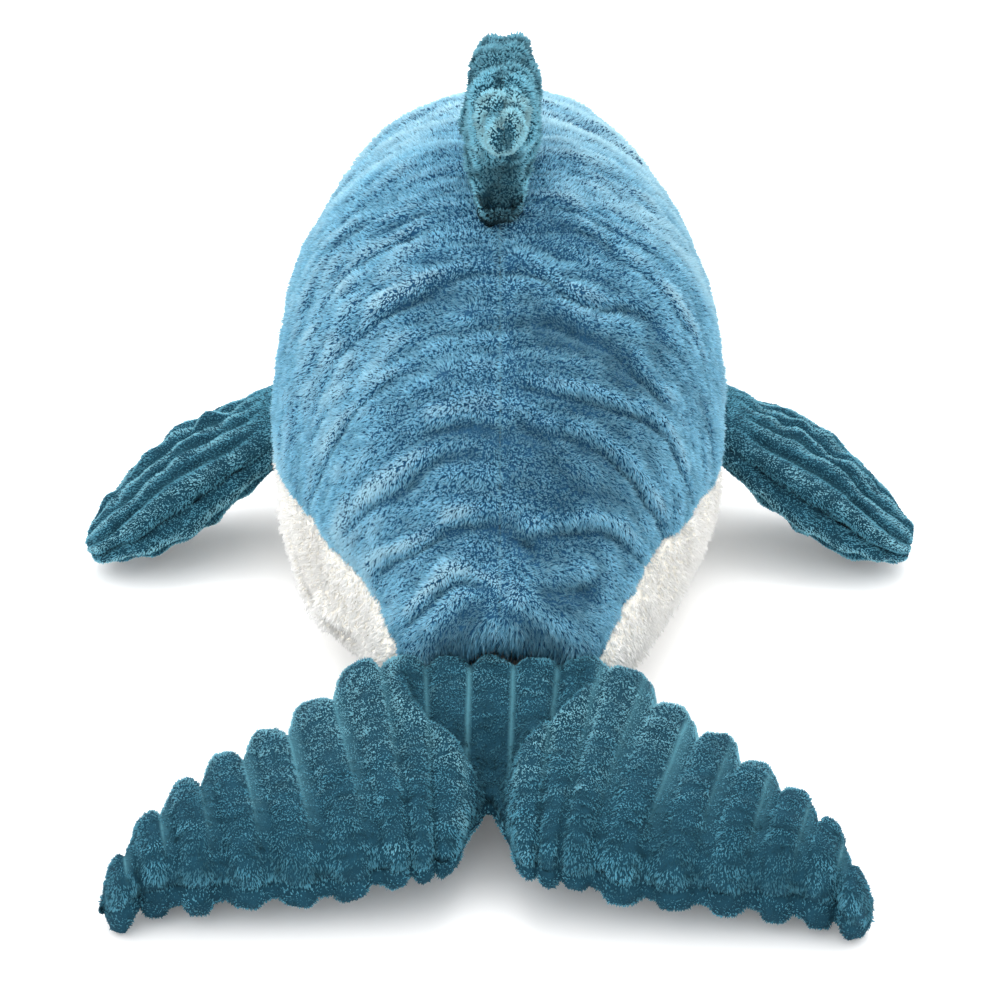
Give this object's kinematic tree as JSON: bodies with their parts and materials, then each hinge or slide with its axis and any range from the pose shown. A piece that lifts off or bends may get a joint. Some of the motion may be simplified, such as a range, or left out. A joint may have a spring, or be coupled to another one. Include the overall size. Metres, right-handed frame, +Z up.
{
  "type": "plush dolphin",
  "caption": "Plush dolphin lying on its belly: stuffed short-pile body with a beak, and soft ribbed flippers, tail flukes and a dorsal fin that bend at their sewn roots.",
  "frame": {"origin": "on the flat of the belly where it rests, in the middle plane", "axes": "+Y from tail to head, +Z up, +X to the dolphin's right"},
  "size_m": [0.233, 0.4103, 0.1524],
  "materials": {
    "back_fur": "short-pile plush fur, mid blue",
    "belly_fur": "short-pile plush fur, warm white",
    "fin_velour": "wide-wale ribbed velour, dark teal",
    "filling": "loose polyester fibre, white",
    "eye_plastic": "glossy black",
    "washer_plastic": "natural white"
  },
  "bodies": {
    "body": {"back_left_panel": "back_fur", "back_right_panel": "back_fur", "belly_panel": "belly_fur", "body_filling": "filling", "beak_upper_panel": "back_fur", "beak_lower_panel": "belly_fur", "beak_filling": "filling", "eye_left": "eye_plastic", "eye_right": "eye_plastic", "eye_washer_left": "washer_plastic", "eye_washer_right": "washer_plastic"},
    "flipper_left": {"flipper_left_upper_panel": "fin_velour", "flipper_left_lower_panel": "fin_velour", "flipper_left_filling": "filling"},
    "flipper_right": {"flipper_right_upper_panel": "fin_velour", "flipper_right_lower_panel": "fin_velour", "flipper_right_filling": "filling"},
    "flukes": {"fluke_upper_panel": "fin_velour", "fluke_lower_panel": "fin_velour", "fluke_filling": "filling"},
    "dorsal_fin": {"dorsal_fin_left_panel": "fin_velour", "dorsal_fin_right_panel": "fin_velour", "dorsal_fin_filling": "filling"}
  },
  "joints": [
    {"name": "flipper_left_flap", "type": "hinge", "parent": "body", "child": "flipper_left", "pos_m": [-0.06362, 0.04213, 0.034], "axis": [0, 1, 0], "range_deg": [-8, 35], "stiffness_Nm_per_rad": 0.1, "springref_deg": 0.57},
    {"name": "flipper_right_flap", "type": "hinge", "parent": "body", "child": "flipper_right", "pos_m": [0.06362, 0.04213, 0.034], "axis": [0, -1, 0], "range_deg": [-8, 35], "stiffness_Nm_per_rad": 0.1, "springref_deg": 0.57},
    {"name": "fluke_bend", "type": "hinge", "parent": "body", "child": "flukes", "pos_m": [0, -0.1, 0.0195], "axis": [-1, 0, 0], "range_deg": [-15, 25], "stiffness_Nm_per_rad": 0.3, "springref_deg": 1.15},
    {"name": "dorsal_fin_tilt", "type": "hinge", "parent": "body", "child": "dorsal_fin", "pos_m": [0, 0.025, 0.11782], "axis": [0, 0.9877, 0.1565], "range_deg": [-24, 24], "stiffness_Nm_per_rad": 0.05}
  ]
}
